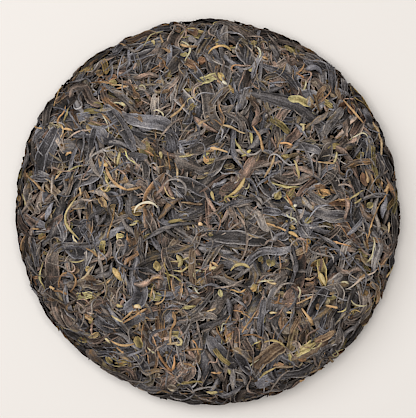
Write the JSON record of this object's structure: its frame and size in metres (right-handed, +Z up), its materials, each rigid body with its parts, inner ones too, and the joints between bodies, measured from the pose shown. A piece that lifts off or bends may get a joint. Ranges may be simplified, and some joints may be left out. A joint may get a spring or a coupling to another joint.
{
  "type": "pu erh tea cake",
  "caption": "Round pressed cake of dark tea leaves with stems and pale tips, a shallow domed face, rounded shoulders and a flat underside with a round hollow, for prying off tea to brew",
  "frame": {"origin": "on the table, under the middle of the cake's round outline", "axes": "+Z is up, out of the domed face; +Y is the side at the top of the picture and +X the side at its right"},
  "size_m": [0.1986, 0.1986, 0.0251],
  "materials": {
    "dark_leaf": "dry wrinkled leaf, low sheen",
    "brown_leaf": "dry leaf, matte",
    "stem": "dry bark, satin",
    "green_leaf": "dry leaf, matte",
    "pale_tip": "downy bud, matte"
  },
  "bodies": {
    "root": {"tea_cake": "dark_leaf"}
  },
  "joints": []
}
